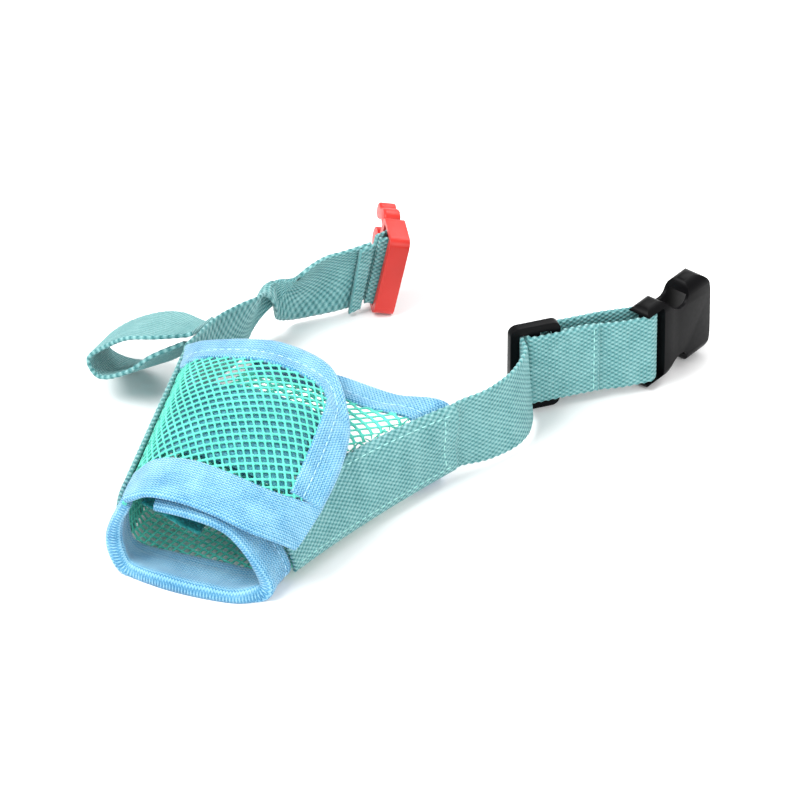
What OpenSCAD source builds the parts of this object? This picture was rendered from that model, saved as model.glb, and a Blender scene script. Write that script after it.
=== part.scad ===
// Soft wrap-round dog muzzle: a net body bound with folded tape, closed over
// the nose by a hook-and-loop flap, with two webbing neck straps that end in
// the halves of a side-release buckle.
// Millimetres, +Z up, the nose opening faces -Y. The origin is at floor level
// under the middle of the nose opening.

/* [Webbing] */
// Width of the strap webbing
webbing_w = 20; // [19.4:0.2:20.4]
// Thickness of the strap webbing
webbing_t = 1.2; // [1:0.05:1.3]

/* [Net and tape] */
// Thickness of the net
net_t = 0.8; // [0.6:0.1:1]
// Width of the folded tape round the nose opening
front_tape_w = 12.5; // [11:0.5:13]
// Width of the folded tape on the other edges
edge_tape_w = 10; // [9:0.5:11]
// Thickness of the folded tape, net included
tape_t = 2.2; // [1.8:0.1:2.3]

/* [Buckle] */
// Thickness of the socket half
socket_t = 7.6; // [7:0.2:8]
// Thickness of the plug half's frame
plug_t = 5.2; // [5:0.1:5.6]
// Radius of the bars that the webbing turns round
bar_r = 1.5; // [1.3:0.1:1.6]

/* [Hidden] */
$fn = 48;
half_net = net_t / 2;
half_tape = tape_t / 2;
over_tape = half_tape + 0.25;
seam = 0.15;

// The shell runs from the left wall's top, down, across the chin, up the
// right wall and over as the tongue. Its three sections are at the nose
// opening, halfway back and at the rear edge.
shell = [
  [[-19.5, 1, 20.8], [-22.3, 1, 14], [-22.5, 1, 7.5], [-19.2, 0.7, 1.9],
   [-9.5, -1, 1.3], [1, -1.4, 1.3], [11, 0, 1.3], [16, 3.5, 3.2],
   [14, 3, 9.7], [9, 2, 17.4], [4, 1, 21], [-4, 1, 22], [-12, 1.5, 21.6]],
  [[-24.6, 35.5, 20.5], [-26, 35.5, 14.5], [-26.5, 35.5, 8], [-24.5, 35, 1.9],
   [-12, 35, 1.3], [1, 35, 1.3], [14, 35, 1.3], [24.2, 35, 2.6],
   [23.6, 35, 10.4], [18.5, 35, 19.6], [11, 35, 24.7], [1, 35, 28], [-12, 35, 29]],
  [[-29.7, 70, 20.2], [-30, 70.5, 14.5], [-30, 71, 8], [-27.5, 70.5, 1.9],
   [-15, 67, 1.3], [3, 65, 1.3], [24, 67, 1.3], [38, 69.6, 2.6],
   [39, 69.6, 10.5], [39, 70, 21.4], [27, 66.5, 22.8], [14, 63.5, 26.8], [-6, 60.5, 30.2]]
];
wall_l = [0, 2.85];
wall_r = [7.15, 9];
tongue_s = [9, 12];

// The flap starts along a straight hinge line above the left wall. Its lines
// run the other way round from the shell's, so its facing() points inwards.
flap = [
  [[-19.5, 1, 22.4], [-13, 0.5, 26], [-4, 0.5, 26.2], [5, 0.5, 24.6],
   [13, 1.5, 21.3], [18.5, 4.5, 17.8], [22.3, 8.5, 13.6]],
  [[-24.6, 35.2, 22.2], [-19.5, 34, 29], [-10, 33, 32.8], [1, 32, 33.2],
   [11, 31.5, 31], [19, 31.5, 27], [25, 31.5, 22]],
  [[-29.7, 69.5, 22], [-24, 65, 27.2], [-14, 62, 32], [-3, 62, 34],
   [8, 60.5, 33.2], [15, 57, 30.8], [20, 51, 27]]
];
flap_end = len(flap[0]) - 1;

// The left strap as three lines along it: the edge that starts low, the middle
// and the edge that starts high. Halfway along it turns over, rolling to its right.
left = [
  [[-31.6, 72, 1.8], [-30.2, 84, 1.6], [-28.3, 92, 1.4], [-27.6, 98, 2], [-28.4, 103.2, 3.4],
   [-27, 107.6, 6.4], [-21.4, 110.8, 13.4], [-17, 115, 19.2], [-13.9, 120.3, 20.6],
   [-10.4, 124, 20.8], [-7.6, 127.2, 20.9], [-4.3, 131.3, 21.1]],
  [[-31.4, 72, 11.8], [-29.8, 84, 11.6], [-27.4, 92, 11.4], [-26, 98, 12.4], [-25.8, 102.8, 14.6],
   [-24.8, 107, 17.4], [-22.6, 110.8, 16.6], [-19.6, 115.2, 12], [-15.6, 120.6, 11],
   [-12, 124.2, 11], [-9.4, 127.3, 11.1], [-6.1, 130.3, 11.4]],
  [[-31.2, 72, 21.8], [-29.3, 83.8, 21.4], [-26.4, 91.6, 21], [-23.4, 97.2, 20.6], [-22.8, 102, 18.6],
   [-21.8, 106.6, 11.5], [-23.9, 111.6, 4.6], [-22, 117, 1.5], [-17, 121.6, 1.2],
   [-13.2, 125, 1.2], [-10.8, 127.4, 1.3], [-7.9, 129.3, 1.7]]
];
left_end = len(left[0]) - 1;

// Webbing routes, each as its lower and its upper edge.
right_low = [[41, 71.4, 2.2], [46.8, 77, 2], [51, 84, 2], [52.2, 90, 2], [51.4, 95, 2], [50.2, 98.8, 2.2]];
right_top = [[41, 71.4, 22.2], [45.8, 78.5, 22], [48.4, 86, 22], [49.1, 91.5, 22], [49, 96, 22.2], [48.6, 99.4, 22.4]];
tail_low = [[-6.6, 128.3, 2.2], [-9.6, 125.4, 1]];
tail_top = [[-3.2, 130.4, 21.4], [-6.6, 126.2, 21]];
loop_far = [[-31.6, 84, 19.3], [-39, 86, 19], [-46, 86, 17], [-54, 86, 12], [-59.5, 86, 6],
  [-58.5, 86, 2.5], [-52, 86, 1.2], [-44, 86, 3.5], [-38, 85, 8], [-31.8, 84, 12.6]];
loop_near = [[-33.1, 72.6, 22.2], [-39, 68, 23], [-46, 66.5, 22], [-51.5, 66.3, 18.5], [-56.3, 66.3, 14],
  [-56, 66.3, 10.5], [-53, 66.3, 8.5], [-46, 66.5, 12], [-40, 68, 17.2], [-33.2, 72.6, 20]];
curl_low = [[-17.6, 7, 18.6], [-12.5, 7, 16.8], [-7, 7, 14.4], [-2, 7, 13]];
curl_top = [[-19, 24, 20], [-13.5, 24, 18.4], [-7.5, 24, 16.4], [-2, 24, 15]];

// The adjuster's straight run, from the slider's middle to the socket's bar.
strap_gap = 0.3;
slider_at = [48.3, 105.3];
run_dir = 40.8;
run_len = 29.6;
run_slack = 6.5;
tail_len = 16.5;
slider_w = 13.4;
slider_h = webbing_w + 5.2;
slider_t = 2.4;
slot_h = webbing_w + 0.6;

socket_bar = slider_at + run_len * [cos(run_dir), sin(run_dir)];
socket_dir = 72.8;
socket_h = webbing_w + 4.4;
socket_l = 22.6;
socket_wall = 3.7;
cavity_t = 5.8;

plug_bar = [-4.4, 133];
plug_dir = 120;
plug_lean = 12;
plug_turn = 68;
plug_h = webbing_w + 3;
plug_wall = 3.5;
arm_x = 6.4;
floor_gap = 0.1;
tack_h = webbing_t / 2 + 0.1;

function cubic(a, b, c, d, u) = 0.5 * (2 * b + (c - a) * u
  + (2 * a - 5 * b + 4 * c - d) * u * u + (3 * b - a - 3 * c + d) * u * u * u);
function along(p, t) =
  let (n = len(p) - 1, i = max(0, min(floor(t), n - 1)))
  cubic(i > 0 ? p[i - 1] : 2 * p[0] - p[1], p[i], p[i + 1],
    i + 2 <= n ? p[i + 2] : 2 * p[n] - p[n - 1], t - i);
function sheet(rows, s, t) = along(rows[0], s) * (1 - t) * (1 - 2 * t)
  + along(rows[1], s) * 4 * t * (1 - t) + along(rows[2], s) * t * (2 * t - 1);
function unit(v) = v / norm(v);
function facing(rows, s, t) = let (e = 0.02)
  unit(cross(sheet(rows, s, t + e) - sheet(rows, s, t - e),
    sheet(rows, s + e, t) - sheet(rows, s - e, t)));
function skin(rows, s, t, h) = sheet(rows, s, t) + h * facing(rows, s, t);
function length_at(rows, s) = norm(sheet(rows, s, 1) - sheet(rows, s, 0.5))
  + norm(sheet(rows, s, 0.5) - sheet(rows, s, 0));
// A closed solid through rings whose points pair across a thin section.
module loft(rings) {
  n = len(rings);
  m = len(rings[0]);
  points = [for (r = rings) each r];
  side = [for (i = [0 : n - 2], k = [0 : m - 1])
    let (a = i * m + k, b = i * m + (k + 1) % m) each [[a, b, b + m], [a, b + m, a + m]]];
  cap = [for (i = [0 : m / 2 - 2])
    each [[i, m - 1 - i, m - 2 - i], [i, m - 2 - i, i + 1]]];
  last = [for (f = cap) [f[2], f[1], f[0]] + (n - 1) * m * [1, 1, 1]];
  faces = concat(side, cap, last);
  volume = [for (i = 0, v = 0; i <= len(faces);
    v = v + (i < len(faces) ? cross(points[faces[i][0]], points[faces[i][1]]) * points[faces[i][2]] : 0),
    i = i + 1) v];
  outward = volume[len(faces)] < 0;
  polyhedron(points, outward ? faces : [for (f = faces) [f[2], f[1], f[0]]], convexity = 6);
}

// Part of a sheet between two limits across and two limits back.
module slab(rows, s0, s1, ns, from, to, nt, h0, h1) {
  loft([for (i = [0 : ns])
    let (s = s0 + (s1 - s0) * i / ns, a = from(s), b = to(s))
    concat([for (j = [0 : nt]) skin(rows, s, a + (b - a) * j / nt, h1)],
      [for (j = [nt : -1 : 0]) skin(rows, s, a + (b - a) * j / nt, h0)])]);
}

// Webbing between a lower and an upper edge route, over part of their length.
module ribbon(low, top, from, to, n, t) {
  loft([for (i = [0 : n])
    let (u = from + (to - from) * i / n, a = along(low, u), b = along(top, u), e = 0.05,
      d = along(low, u + e) + along(top, u + e) - along(low, u - e) - along(top, u - e),
      o = unit(cross(d, b - a)) * t / 2)
    [a + o, b + o, b - o, a - o]]);
}

function front_in(rows) = function(s) front_tape_w / length_at(rows, s);
function rear_in(rows) = function(s) 1 - edge_tape_w / length_at(rows, s);
function at(t) = function(s) t;
function inside_front(rows) = function(s) (front_tape_w + seam) / length_at(rows, s);
function inside_rear(rows) = function(s) 1 - (edge_tape_w + seam) / length_at(rows, s);

// The flap's bound edge runs up its free side, round a corner and along the back.
flap_corner = [1.7, 0.22];
flap_inset = [1.25, 0.155];
function edge_path(inset, start) =
  let (c = [flap_end - flap_corner[0], 1 - flap_corner[1]], r = flap_corner - inset)
  concat([for (i = [0 : 6]) [c[0] + r[0], start + (c[1] - start) * i / 6]],
    [for (a = [15 : 15 : 75]) [c[0] + r[0] * cos(a), c[1] + r[1] * sin(a)]],
    [for (i = [0 : 14]) [c[0] * (1 - i / 14), c[1] + r[1]]]);
function flap_rear(s) =
  let (c = flap_end - flap_corner[0], r = flap_corner - flap_inset, x = (s - c) / r[0])
  1 - flap_corner[1] + r[1] * (s <= c ? 1 : sqrt(max(0, 1 - x * x))) - 0.003;

module chin_net() {
  color("#5fdcc0") slab(shell, 0, tongue_s[0] - 0.02, 27, inside_front(shell), inside_rear(shell), 6,
    -half_net, half_net);
}

module tongue_net() {
  color("#5fdcc0") slab(shell, tongue_s[0] + 0.02, tongue_s[1], 9, inside_front(shell),
    inside_rear(shell), 6, -half_net, half_net);
}

module rim_tape() {
  color("#78bee8") slab(shell, 0, tongue_s[1], 40, at(0), front_in(shell), 2, -half_tape, half_tape);
}

module rear_tape() {
  color("#78bee8") slab(shell, 0, tongue_s[1], 40, rear_in(shell), at(1), 2, -half_tape, half_tape);
}

module loop_patch() {
  color("#3fa2ae") slab(shell, 9.7, 11.9, 12, at(0.25), at(0.7), 6, half_net + 0.3, half_net + 0.9);
}

module curl_strip() {
  color("#0c7f80") ribbon(curl_low, curl_top, 0, 3, 9, 1.4);
}

module left_webbing() {
  color("#7cc8be") slab(shell, wall_l[0] + 0.05, wall_l[1], 16, at(0.2), at(1), 10,
    over_tape, over_tape + webbing_t);
}

module right_webbing() {
  color("#7cc8be") slab(shell, wall_r[0], wall_r[1], 12, at(0.2), at(1), 10,
    over_tape, over_tape + webbing_t);
}

module flap_net() {
  color("#62e6c6") slab(flap, 0, flap_end - flap_inset[0] - 0.02, 24, inside_front(flap),
    function(s) flap_rear(s), 7, -half_net, half_net);
}

module crossbar_tape() {
  color("#78bee8") slab(flap, 0, flap_end, 24, at(0), front_in(flap), 2, -half_tape, half_tape);
}

module flap_edge_tape() {
  outer = edge_path([0, 0], inside_front(flap)(flap_end));
  inner = edge_path(flap_inset, inside_front(flap)(flap_end - flap_inset[0]));
  color("#78bee8") loft([for (k = [0 : len(outer) - 1])
    concat([for (j = [0 : 2]) let (p = inner[k] + (outer[k] - inner[k]) * j / 2)
        skin(flap, p[0], p[1], half_tape)],
      [for (j = [2 : -1 : 0]) let (p = inner[k] + (outer[k] - inner[k]) * j / 2)
        skin(flap, p[0], p[1], -half_tape)])]);
}

module hook_patch() {
  color("#2f8f98") slab(flap, 0.5, 4.7, 14, at(0.24), at(0.66), 5, half_net + 0.2, half_net + 0.9);
}

module collar_loop() {
  color("#7cc8be") ribbon(loop_far, loop_near, 0, 9, 27, webbing_t);
}

module left_strap_root() {
  color("#7cc8be") slab(left, 0, 0.97, 3, at(0), at(1), 4, -webbing_t / 2, webbing_t / 2);
}

// The close stitches that hold the root, where they stand proud of it.
module bar_tack() {
  color("#cfeee8") slab(left, 0.2, 0.48, 2, at(0.3), at(0.66), 4, tack_h, tack_h + 0.45);
}

module left_neck_strap() {
  color("#7cc8be") slab(left, 1.04, left_end - strap_gap, 40, at(0), at(1), 6, -webbing_t / 2, webbing_t / 2);
}

module plug_tail() {
  color("#6fb9b0") ribbon(tail_low, tail_top, 0.3, 1, 2, webbing_t);
}

// A turn of webbing round a bar, its two legs closing together behind it.
module bar_turn(back, near, far) {
  r = bar_r + 0.46;
  mid = r + webbing_t / 2;
  path = concat([[-back, far], [-back * 0.45, (far + mid) / 2 * 0.96]],
    [for (a = [100 : -20 : -100]) mid * [cos(a), sin(a)]],
    [[-back * 0.45, (near - mid) / 2 * 0.96], [-back, near]]);
  n = len(path) - 1;
  function side(i) = let (d = unit(path[min(i + 1, n)] - path[max(i - 1, 0)])) [-d[1], d[0]];
  linear_extrude(webbing_w, center = true)
    polygon(concat([for (i = [0 : n]) path[i] + side(i) * webbing_t / 2],
      [for (i = [n : -1 : 0]) path[i] - side(i) * webbing_t / 2]));
}

module plug_place() {
  rise = (plug_h * cos(plug_lean) + plug_t * sin(plug_lean)) / 2 + floor_gap;
  shift = rise * tan(plug_lean);
  translate([plug_bar[0] + shift * sin(plug_dir), plug_bar[1] - shift * cos(plug_dir), rise])
    rotate([0, 0, plug_dir])
    rotate([90 + plug_lean, 0, 0])
    children();
}

module socket_place() {
  translate([socket_bar[0], socket_bar[1], socket_h / 2 + floor_gap])
    rotate([0, 0, socket_dir])
    rotate([90, 0, 0])
    children();
}

module run_place(z) {
  translate([slider_at[0], slider_at[1], z])
    rotate([0, 0, run_dir])
    children();
}

module rounded(x0, x1, h, r) {
  translate([x0 + r, -h / 2]) square([x1 - x0 - 2 * r, h]);
  translate([x0, -h / 2 + r]) square([x1 - x0, h - 2 * r]);
  for (x = [x0 + r, x1 - r], y = [-h / 2 + r, h / 2 - r])
    translate([x, y]) circle(r);
}

module plug_turn_webbing() {
  color("#7cc8be") plug_place() rotate([0, -plug_turn, 0]) rotate([90, 0, 0])
    bar_turn(5.4, -0.68, 0.68);
}

module plug_frame() {
  color("#e8433a") plug_place() {
    difference() {
      linear_extrude(plug_t, center = true) rounded(-plug_wall - 2.6, arm_x - 0.5, plug_h, 2.2);
      cube([2 * plug_wall, slot_h, plug_t + 1], center = true);
    }
    rotate([90, 0, 0]) cylinder(h = slot_h + 1, r = bar_r, center = true);
    translate([0, 0, -1.6]) linear_extrude(3.2) {
      translate([arm_x - 1, -2.2]) square([7.6, 4.4]);
      translate([arm_x + 6.4, 0]) circle(2.9);
    }
  }
}

// One release arm, its spring root on the frame and its catch at the tip.
module arm_shape() {
  linear_extrude(4.4, center = true) {
    polygon([for (p = [[0, 6.8], [0, 10], [1, 10.9], [2.6, 11.2], [4, 10.8], [5.2, 9.9],
      [6.4, 9.7], [7.6, 9.9], [8.7, 9.5], [9.4, 8.6], [9.5, 7.5], [9.1, 6.4], [8.2, 5.7],
      [7, 5.6], [5.9, 6], [4.6, 7], [3.2, 7.6], [1.6, 7.4]]) p + [arm_x, 0]]);
  }
}

module upper_arm() {
  color("#e8433a") plug_place() arm_shape();
}

module lower_arm() {
  color("#e8433a") plug_place() mirror([0, 1, 0]) arm_shape();
}

module right_neck_strap() {
  color("#7cc8be") ribbon(right_low, right_top, 0, 5, 20, webbing_t);
}

module slider() {
  bar = 2.4;
  color("#242628") run_place(slider_h / 2 + floor_gap) rotate([90, 0, 0]) {
    difference() {
      linear_extrude(slider_t, center = true) rounded(-slider_w / 2, slider_w / 2, slider_h, 2.2);
      for (x = [-1, 1])
        translate([x * (slider_w / 4 - bar / 4), 0, 0])
          cube([slider_w / 2 - 1.5 * bar, slot_h, slider_t + 1], center = true);
    }
  }
}

// The tail of the webbing, round the slider's middle bar and out along the run.
module slider_tail() {
  in = 1.5;
  out = in + webbing_t;
  color("#7cc8be") run_place(slider_h / 2 + floor_gap)
    linear_extrude(webbing_w, center = true) {
      difference() {
        square(2 * out, center = true);
        square(2 * in, center = true);
      }
      translate([in, -out]) square([tail_len - in, webbing_t]);
    }
}

module socket_turn_webbing() {
  front = -1.5 - webbing_t / 2;
  behind = 3 + webbing_t / 2;
  length = run_len - tail_len - run_slack;
  color("#7cc8be") run_place(socket_h / 2 + floor_gap) {
    translate([run_len, 0, 0]) bar_turn(length, front, behind);
    translate([-2.5, behind - webbing_t / 2, -webbing_w / 2])
      cube([2.6 + run_len - length, webbing_t, webbing_w]);
  }
}

// Half of the socket's outline: a hump over the bar, a hollow where the
// release arms are pressed, and a rounded ear at the mouth.
socket_side = [[-2.6, 9], [-2.2, 10.9], [-0.8, 11.9], [1, 12.1], [3, 12], [4.6, 11.3], [6, 9.8],
  [7.5, 8.2], [9.3, 7.2], [11.2, 7.1], [12.7, 7.9], [13.5, 9.4], [14, 11], [14.8, 12], [16.2, 12.2], [18.2, 12],
  [20.4, 11.1], [21.9, 9.4], [22.5, 6.6], [22.6, 3]];

module socket() {
  side = [for (p = socket_side) [p[0], p[1] * socket_h / 24.4]];
  end = len(side) - 1;
  smooth = [for (i = [0 : 3 * end]) along(side, i / 3)];
  r = socket_t / 2;
  color("#1e1f21") socket_place() {
    difference() {
      intersection() {
        linear_extrude(socket_t + 1, center = true)
          polygon(concat(smooth, [for (i = [len(smooth) - 1 : -1 : 0]) [smooth[i][0], -smooth[i][1]]]));
        translate([-4, 0, 0]) rotate([90, 0, 90]) linear_extrude(socket_l + 6)
          rounded(-socket_h / 2, socket_h / 2, socket_t, r - 0.01);
      }
      translate([(socket_wall - 4) / 2, 0, 0]) cube([socket_wall + 4, slot_h, socket_t + 1], center = true);
      translate([7 + socket_l / 2, 0, 0]) cube([socket_l, webbing_w - 1.6, cavity_t], center = true);
    }
    rotate([90, 0, 0]) cylinder(h = slot_h + 1, r = bar_r, center = true);
  }
}

module tail_stitches() {
  color("#cfeee8") run_place(slider_h / 2 + floor_gap)
    translate([tail_len - 1.4, -1.5 - webbing_t - 0.35, -webbing_w / 2 + 0.8])
    for (i = [0 : 6]) translate([0, 0, i * 2.7]) cube([0.5, 0.3, 1.8]);
}

chin_net();
tongue_net();
rim_tape();
rear_tape();
loop_patch();
curl_strip();
left_webbing();
right_webbing();
flap_net();
crossbar_tape();
flap_edge_tape();
hook_patch();
collar_loop();
left_strap_root();
bar_tack();
left_neck_strap();
plug_tail();
plug_turn_webbing();
plug_frame();
upper_arm();
lower_arm();
right_neck_strap();
slider();
slider_tail();
tail_stitches();
socket_turn_webbing();
socket();
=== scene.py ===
# %% [markdown]
# # A soft net muzzle
# The muzzle is a knitted net sleeve with folded tape round its edges, a flap
# that closes over the nose, and two webbing straps that end in a buckle.
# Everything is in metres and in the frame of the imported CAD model, so a piece
# goes where the CAD solid it stands for is.

# %% Load the frame
import bpy, math
import numpy as np
from mathutils import Matrix, Vector


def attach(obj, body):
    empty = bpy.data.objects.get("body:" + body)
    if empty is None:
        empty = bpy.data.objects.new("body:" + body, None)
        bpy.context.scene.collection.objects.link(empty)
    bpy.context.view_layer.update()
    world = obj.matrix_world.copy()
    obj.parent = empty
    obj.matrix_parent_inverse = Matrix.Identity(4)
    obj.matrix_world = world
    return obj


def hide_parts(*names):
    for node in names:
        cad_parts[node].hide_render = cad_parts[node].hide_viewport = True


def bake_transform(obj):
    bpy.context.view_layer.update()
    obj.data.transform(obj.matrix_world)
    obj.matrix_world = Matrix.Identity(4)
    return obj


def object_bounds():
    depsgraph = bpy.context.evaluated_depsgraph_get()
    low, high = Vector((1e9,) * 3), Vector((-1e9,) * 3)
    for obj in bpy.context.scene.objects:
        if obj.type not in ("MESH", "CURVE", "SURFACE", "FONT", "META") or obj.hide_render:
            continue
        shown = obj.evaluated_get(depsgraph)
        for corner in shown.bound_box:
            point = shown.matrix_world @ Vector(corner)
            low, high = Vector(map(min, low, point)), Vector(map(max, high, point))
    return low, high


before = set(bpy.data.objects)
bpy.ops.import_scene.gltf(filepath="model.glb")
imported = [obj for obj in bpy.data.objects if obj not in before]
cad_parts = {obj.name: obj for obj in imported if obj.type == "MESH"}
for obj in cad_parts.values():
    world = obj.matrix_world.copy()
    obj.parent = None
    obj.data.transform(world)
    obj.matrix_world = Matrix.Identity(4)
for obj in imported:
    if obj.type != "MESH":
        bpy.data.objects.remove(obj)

cad_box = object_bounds()
low, high = Vector(cad_box[0]), Vector(cad_box[1])
span = high - low
MM = 0.001
print("object box, mm:", [round(v / MM, 1) for v in span])

# %% [markdown]
# ## Camera
# A long lens from two and a half metres keeps the straps at the back as large
# as the nose rim in front. The camera aims at a point on the floor that is
# given as a share of the object's box.

# %% Place the camera
AIM_SHARE = (0.5403, 0.642)


def place_camera(azimuth, elevation, distance, lens):
    aim = Vector((low.x + AIM_SHARE[0] * span.x, low.y + AIM_SHARE[1] * span.y, 0))
    a, e = math.radians(azimuth), math.radians(elevation)
    away = Vector((math.sin(a) * math.cos(e), -math.cos(a) * math.cos(e), math.sin(e)))
    data = bpy.data.cameras.new("camera")
    data.lens, data.sensor_width, data.clip_end = lens, 36, 10
    camera = bpy.data.objects.new("camera", data)
    bpy.context.scene.collection.objects.link(camera)
    camera.location = aim + away * distance
    camera.rotation_euler = away.to_track_quat("Z", "Y").to_euler()
    bpy.context.scene.camera = camera
    print("camera looks from", [round(v, 3) for v in camera.location])


place_camera(azimuth=21.3, elevation=35, distance=2.5, lens=446.4)

# %% [markdown]
# ## The pattern pieces as curved sheets
# A sewn shell is easiest to state as a pattern: three lines run across it, at
# its front, its middle and its rear, and any point of the cloth is found by a
# smooth curve along each line and a smooth curve between the three. The CAD
# solids are built on the same numbers, so cloth and solids follow one surface.

# %% Lines of the shell, the flap and the left strap
def lines(*rows):
    return [np.array(row, float) * MM for row in rows]


shell = lines(
    [[-19.5, 1, 20.8], [-22.3, 1, 14], [-22.5, 1, 7.5], [-19.2, 0.7, 1.9], [-9.5, -1, 1.3],
     [1, -1.4, 1.3], [11, 0, 1.3], [16, 3.5, 3.2], [14, 3, 9.7], [9, 2, 17.4], [4, 1, 21],
     [-4, 1, 22], [-12, 1.5, 21.6]],
    [[-24.6, 35.5, 20.5], [-26, 35.5, 14.5], [-26.5, 35.5, 8], [-24.5, 35, 1.9], [-12, 35, 1.3],
     [1, 35, 1.3], [14, 35, 1.3], [24.2, 35, 2.6], [23.6, 35, 10.4], [18.5, 35, 19.6],
     [11, 35, 24.7], [1, 35, 28], [-12, 35, 29]],
    [[-29.7, 70, 20.2], [-30, 70.5, 14.5], [-30, 71, 8], [-27.5, 70.5, 1.9], [-15, 67, 1.3],
     [3, 65, 1.3], [24, 67, 1.3], [38, 69.6, 2.6], [39, 69.6, 10.5], [39, 70, 21.4],
     [27, 66.5, 22.8], [14, 63.5, 26.8], [-6, 60.5, 30.2]])
flap = lines(
    [[-19.5, 1, 22.4], [-13, 0.5, 26], [-4, 0.5, 26.2], [5, 0.5, 24.6], [13, 1.5, 21.3],
     [18.5, 4.5, 17.8], [22.3, 8.5, 13.6]],
    [[-24.6, 35.2, 22.2], [-19.5, 34, 29], [-10, 33, 32.8], [1, 32, 33.2], [11, 31.5, 31],
     [19, 31.5, 27], [25, 31.5, 22]],
    [[-29.7, 69.5, 22], [-24, 65, 27.2], [-14, 62, 32], [-3, 62, 34], [8, 60.5, 33.2],
     [15, 57, 30.8], [20, 51, 27]])
left = lines(
    [[-31.6, 72, 1.8], [-30.2, 84, 1.6], [-28.3, 92, 1.4], [-27.6, 98, 2], [-28.4, 103.2, 3.4],
     [-27, 107.6, 6.4], [-21.4, 110.8, 13.4], [-17, 115, 19.2], [-13.9, 120.3, 20.6],
     [-10.4, 124, 20.8], [-7.6, 127.2, 20.9], [-4.3, 131.3, 21.1]],
    [[-31.4, 72, 11.8], [-29.8, 84, 11.6], [-27.4, 92, 11.4], [-26, 98, 12.4], [-25.8, 102.8, 14.6],
     [-24.8, 107, 17.4], [-22.6, 110.8, 16.6], [-19.6, 115.2, 12], [-15.6, 120.6, 11],
     [-12, 124.2, 11], [-9.4, 127.3, 11.1], [-6.1, 130.3, 11.4]],
    [[-31.2, 72, 21.8], [-29.3, 83.8, 21.4], [-26.4, 91.6, 21], [-23.4, 97.2, 20.6], [-22.8, 102, 18.6],
     [-21.8, 106.6, 11.5], [-23.9, 111.6, 4.6], [-22, 117, 1.5], [-17, 121.6, 1.2],
     [-13.2, 125, 1.2], [-10.8, 127.4, 1.3], [-7.9, 129.3, 1.7]])
# The tongue starts at point 9 of the shell's lines, counting from 0. A place
# across a sheet is counted in those points, and a place along it runs 0 to 1.
TONGUE = 9.0
SHELL_END, FLAP_END = len(shell[0]) - 1, len(flap[0]) - 1
FLAP_CORNER = (FLAP_END - 1.7, 0.78)
FRONT_TAPE, EDGE_TAPE, HALF_TAPE = 12.5 * MM, 10 * MM, 1.1 * MM
WEB, WEB_T = 20 * MM, 1.2 * MM
OVER_TAPE = HALF_TAPE + 0.25 * MM
print("points across the shell and the flap:", SHELL_END + 1, FLAP_END + 1)

# %% [markdown]
# ## Points and directions on a sheet
# A curve through given points bends as cloth does without a table of
# in-between values. The direction a sheet faces is the cross product of two
# short steps on it, and seams, tapes and pads are lifted off along it. The
# flap's lines run the other way round from the shell's, so it faces inwards.

# %% Curves along and across a sheet
def along(row, s):
    """A smooth curve through a row of points, at each number in s."""
    n = len(row) - 1
    i = np.clip(np.floor(s).astype(int), 0, n - 1)
    u = (s - i)[..., None]
    ends = np.vstack([2 * row[0] - row[1], row, 2 * row[-1] - row[-2]])
    a, b, c, d = ends[i], ends[i + 1], ends[i + 2], ends[i + 3]
    return 0.5 * (2 * b + (c - a) * u + (2 * a - 5 * b + 4 * c - d) * u ** 2
                  + (3 * b - a - 3 * c + d) * u ** 3)


def on_sheet(rows, s, t):
    t = np.asarray(t, float)[..., None]
    return (along(rows[0], s) * (1 - t) * (1 - 2 * t) + along(rows[1], s) * 4 * t * (1 - t)
            + along(rows[2], s) * t * (2 * t - 1))


def unit(v):
    return v / np.maximum(np.linalg.norm(v, axis=-1, keepdims=True), 1e-12)


def facing(rows, s, t, e=0.02):
    return unit(np.cross(on_sheet(rows, s, t + e) - on_sheet(rows, s, t - e),
                         on_sheet(rows, s + e, t) - on_sheet(rows, s - e, t)))


def depth(rows, s):
    """How long the cloth is from front to rear at s."""
    p = [on_sheet(rows, s, np.full_like(s, t)) for t in (0, 0.5, 1)]
    return np.linalg.norm(p[1] - p[0], axis=-1) + np.linalg.norm(p[2] - p[1], axis=-1)


print("shell depth at the chin, mm:", round(float(depth(shell, np.array([5.0]))[0]) / MM, 1))

# %% [markdown]
# ## Small helpers for meshes
# Cloth is made as a grid of points, because the pattern gives every point and
# a grid takes a weave well. Its UV map holds real metres, along and across, so
# a weave has the same size on every piece.

# %% Mesh helpers
def make_object(name, points, faces, uvs=None):
    points = np.array(points, float)
    points[:, 2] = np.maximum(points[:, 2], low.z)
    mesh = bpy.data.meshes.new(name)
    mesh.from_pydata([tuple(p) for p in points], [], [tuple(f) for f in faces])
    if uvs is not None:
        layer = mesh.uv_layers.new(name="UVMap")
        index = np.empty(len(mesh.loops), np.int32)
        mesh.loops.foreach_get("vertex_index", index)
        layer.data.foreach_set("uv", np.asarray(uvs, np.float32)[index].ravel())
    mesh.validate()
    mesh.polygons.foreach_set("use_smooth", [True] * len(mesh.polygons))
    piece = bpy.data.objects.new(name, mesh)
    bpy.context.scene.collection.objects.link(piece)
    return piece


def only(piece):
    bpy.ops.object.select_all(action="DESELECT")
    piece.select_set(True)
    bpy.context.view_layer.objects.active = piece


def apply_all(piece):
    only(piece)
    for name in [m.name for m in piece.modifiers]:
        bpy.ops.object.modifier_apply(modifier=name)


def grid_faces(n, m, closed=False):
    i, j = np.meshgrid(np.arange(n - 1), np.arange(m if closed else m - 1), indexing="ij")
    a, b = i * m + j, i * m + (j + 1) % m
    return np.stack([a, b, b + m, a + m], -1).reshape(-1, 4)


def outward(piece):
    """Turns a closed mesh so that its faces point outwards."""
    only(piece)
    bpy.ops.object.mode_set(mode="EDIT")
    bpy.ops.mesh.select_all(action="SELECT")
    bpy.ops.mesh.normals_make_consistent(inside=False)
    bpy.ops.object.mode_set(mode="OBJECT")


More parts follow.
